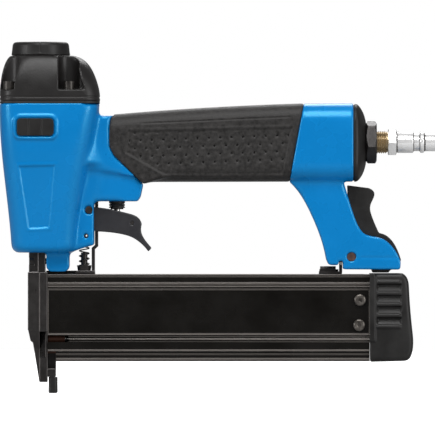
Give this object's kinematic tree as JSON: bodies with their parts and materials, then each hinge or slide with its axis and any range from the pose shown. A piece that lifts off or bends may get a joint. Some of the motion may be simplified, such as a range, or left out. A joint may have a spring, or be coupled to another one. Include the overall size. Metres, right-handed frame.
{
  "type": "pneumatic brad nailer",
  "caption": "Pneumatic brad nailer: upright barrel with a turning exhaust cap, rubber grip, curved trigger, contact safety, long sliding magazine with a squeeze latch, and an air plug.",
  "frame": {"origin": "on the driver's axis, level with the underside of the contact tip, where the tool meets the work", "axes": "+Z along the driver's axis, against the shot; +X from the nose towards the air plug; +Y to the tool's right side"},
  "size_m": [0.2966, 0.0594, 0.2351],
  "materials": {
    "blue_paint": "satin",
    "black_cast": "satin",
    "black_plastic": "matte",
    "grip_rubber": "matte",
    "seal_rubber": "matte",
    "urethane": "satin",
    "felt": "matte",
    "anodised": "gloss",
    "aluminium": "satin",
    "blued_steel": "satin",
    "bright_steel": "brushed",
    "spring_steel": "satin",
    "zinc_steel": "satin",
    "nickel": "polished",
    "bronze": "satin",
    "trigger_grey": "satin"
  },
  "bodies": {
    "housing": {"main_housing": "blue_paint", "side_pads": "seal_rubber", "cylinder_head": "black_cast", "head_gasket": "seal_rubber", "head_screws": "blued_steel", "exhaust_screw": "blued_steel", "exhaust_silencer": "felt", "head_valve_spring": "spring_steel", "cylinder": "aluminium", "cylinder_seals": "seal_rubber", "bumper": "urethane", "grip_sleeve": "grip_rubber", "end_cap": "black_plastic", "end_cap_seal": "seal_rubber", "air_adapter": "blued_steel", "air_plug": "nickel", "trigger_pin": "blued_steel", "roll_pin": "spring_steel", "valve_body": "black_plastic", "valve_cap": "aluminium", "valve_seals": "seal_rubber", "valve_spring": "spring_steel", "safety_spring": "spring_steel", "driver_guide": "blued_steel", "nose_front_plate": "blued_steel", "nose_screws": "blued_steel", "fixed_magazine": "anodised", "magazine_bracket": "blued_steel", "bracket_screws": "zinc_steel", "bracket_pin": "bright_steel", "latch_pin": "blued_steel", "latch_spring": "spring_steel"},
    "exhaust": {"exhaust_cap": "black_plastic"},
    "head_valve_group": {"head_valve": "aluminium", "head_valve_seals": "seal_rubber"},
    "driver": {"piston": "aluminium", "piston_seal": "seal_rubber", "driver_blade": "bright_steel", "driver_pin": "bright_steel"},
    "trigger_group": {"trigger": "trigger_grey", "lever_pin": "blued_steel"},
    "trigger_rocker": {"trigger_lever": "bright_steel"},
    "valve": {"valve_stem": "bright_steel"},
    "safety": {"upper_link": "blued_steel", "contact_arm": "blued_steel", "contact_tip": "black_plastic", "spring_seat": "blued_steel"},
    "magazine": {"magazine_cover": "anodised", "rear_cap": "black_plastic", "magazine_screws": "blued_steel", "pusher_rod": "bright_steel", "pusher_spring": "spring_steel"},
    "pusher_block": {"pusher": "bronze"},
    "latch": {"latch_lever": "black_plastic"}
  },
  "joints": [
    {"name": "trigger_hinge", "type": "hinge", "parent": "housing", "child": "trigger_group", "pos_m": [0.0317, 0, 0.1227], "axis": [0, -1, 0], "range_deg": [0, 11], "stiffness_Nm_per_rad": 0.6, "springref_deg": -14.32},
    {"name": "rocker_hinge", "type": "hinge", "parent": "trigger_group", "child": "trigger_rocker", "pos_m": [0.0605, 0, 0.1139], "axis": [0, 1, 0], "range_deg": [0, 3], "stiffness_Nm_per_rad": 0.02, "springref_deg": -11.46},
    {"name": "valve_slide", "type": "slide", "parent": "housing", "child": "valve", "axis": [0, 0, 1], "range_m": [0, 0.0036], "deforming": ["valve_spring"]},
    {"name": "safety_slide", "type": "slide", "parent": "housing", "child": "safety", "axis": [0, 0, 1], "range_m": [0, 0.008], "stiffness_N_per_m": 600, "springref_m": -0.012, "deforming": ["safety_spring"]},
    {"name": "driver_slide", "type": "slide", "parent": "housing", "child": "driver", "axis": [0, 0, -1], "range_m": [0, 0.069]},
    {"name": "head_valve_slide", "type": "slide", "parent": "housing", "child": "head_valve_group", "axis": [0, 0, 1], "range_m": [0, 0.0035], "stiffness_N_per_m": 2000, "springref_m": -0.004, "deforming": ["head_valve_spring"]},
    {"name": "exhaust_turn", "type": "hinge", "parent": "housing", "child": "exhaust", "pos_m": [-0.0008, 0, 0.23], "axis": [0, 0, 1], "continuous": true},
    {"name": "latch_hinge", "type": "hinge", "parent": "housing", "child": "latch", "pos_m": [0.2072, 0, 0.0913], "axis": [0, -1, 0], "range_deg": [0, 8], "stiffness_Nm_per_rad": 0.8, "springref_deg": -11.46, "deforming": ["latch_spring"]},
    {"name": "magazine_slide", "type": "slide", "parent": "housing", "child": "magazine", "axis": [1, 0, 0], "range_m": [0, 0.15]},
    {"name": "pusher_slide", "type": "slide", "parent": "magazine", "child": "pusher_block", "axis": [1, 0, 0], "range_m": [0, 0.15], "stiffness_N_per_m": 60, "springref_m": -0.05, "deforming": ["pusher_spring"]}
  ],
  "couplings": [
    {"joint": "valve_slide", "follows": "trigger_hinge", "m_per_rad": 0.01823}
  ]
}
